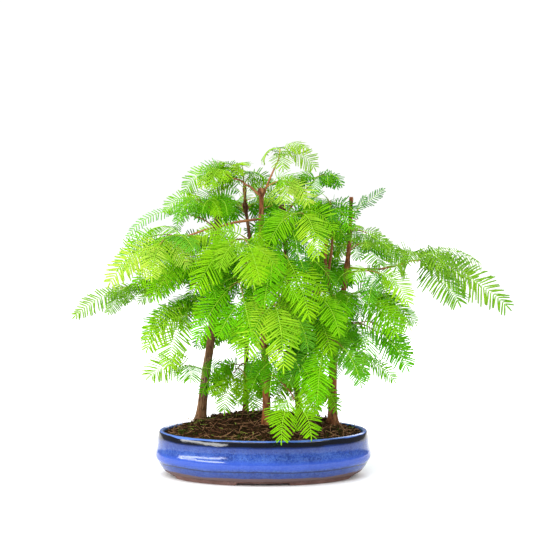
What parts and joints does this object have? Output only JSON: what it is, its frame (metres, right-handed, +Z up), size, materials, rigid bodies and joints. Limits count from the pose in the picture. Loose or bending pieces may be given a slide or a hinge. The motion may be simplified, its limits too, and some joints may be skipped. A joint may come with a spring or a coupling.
{
  "type": "dawn redwood bonsai forest",
  "caption": "Dawn redwood bonsai forest: slim tapering trunks with thin boughs and arching sprays of soft needles, planted in an oval glazed pot of mounded soil.",
  "frame": {"origin": "On the ground, under the middle of the box round the whole plant and pot. The pot's own middle is 30 mm to the left of it and 28 mm in front of it.", "axes": "+Z up, +X to the right along the pot's long side as seen from the front, +Y to the back."},
  "size_m": [0.5092, 0.3368, 0.384],
  "materials": {
    "glaze": "glossy mottled royal-blue glaze with a dark band under a light rim",
    "clay": "unglazed reddish-brown stoneware, matt",
    "soil": "damp dark-brown crumbly soil with fibres and a little moss",
    "bark": "fissured grey-brown bark on the trunks, smooth red-brown bark on the boughs",
    "foliage": "soft thin bright-green needles in flat sprays"
  },
  "bodies": {
    "root": {"pot": "glaze", "pot_base": "clay", "soil": "soil", "left_trunk": "bark", "back_trunk": "bark", "centre_trunk": "bark", "inner_trunk": "bark", "right_trunk": "bark", "leader": "bark", "second_leader": "bark", "fork_stem": "bark", "upper_left_bough": "bark", "long_left_bough": "bark", "lower_left_bough": "bark", "low_front_bough": "bark", "top_right_bough": "bark", "long_right_bough": "bark", "leader_sprays": "foliage", "leader_side_sprays": "foliage", "upper_left_sprays": "foliage", "left_top_sprays": "foliage", "left_arching_sprays": "foliage", "long_left_sprays": "foliage", "far_left_sprays": "foliage", "left_middle_sprays": "foliage", "lower_left_sprays": "foliage", "left_low_twig": "foliage", "back_trunk_top_sprays": "foliage", "back_trunk_low_twig": "foliage", "upper_right_sprays": "foliage", "front_left_sprays": "foliage", "front_right_sprays": "foliage", "front_middle_sprays": "foliage", "low_front_sprays": "foliage", "inner_left_sprays": "foliage", "low_middle_sprays": "foliage", "top_right_sprays": "foliage", "inner_front_sprays": "foliage", "inner_low_twig": "foliage", "top_twig": "foliage", "right_upper_sprays": "foliage", "long_right_sprays": "foliage", "right_hanging_sprays": "foliage", "right_middle_sprays": "foliage", "right_lower_sprays": "foliage", "right_low_twig": "foliage", "right_front_sprays": "foliage", "right_front_high_sprays": "foliage", "fork_sprays": "foliage", "back_left_high_sprays": "foliage", "back_left_sprays": "foliage", "back_left_low_sprays": "foliage", "back_high_sprays": "foliage", "back_middle_sprays": "foliage", "back_low_sprays": "foliage", "back_right_high_sprays": "foliage", "back_right_sprays": "foliage", "back_right_low_sprays": "foliage", "right_back_high_sprays": "foliage", "right_back_sprays": "foliage"}
  },
  "joints": []
}
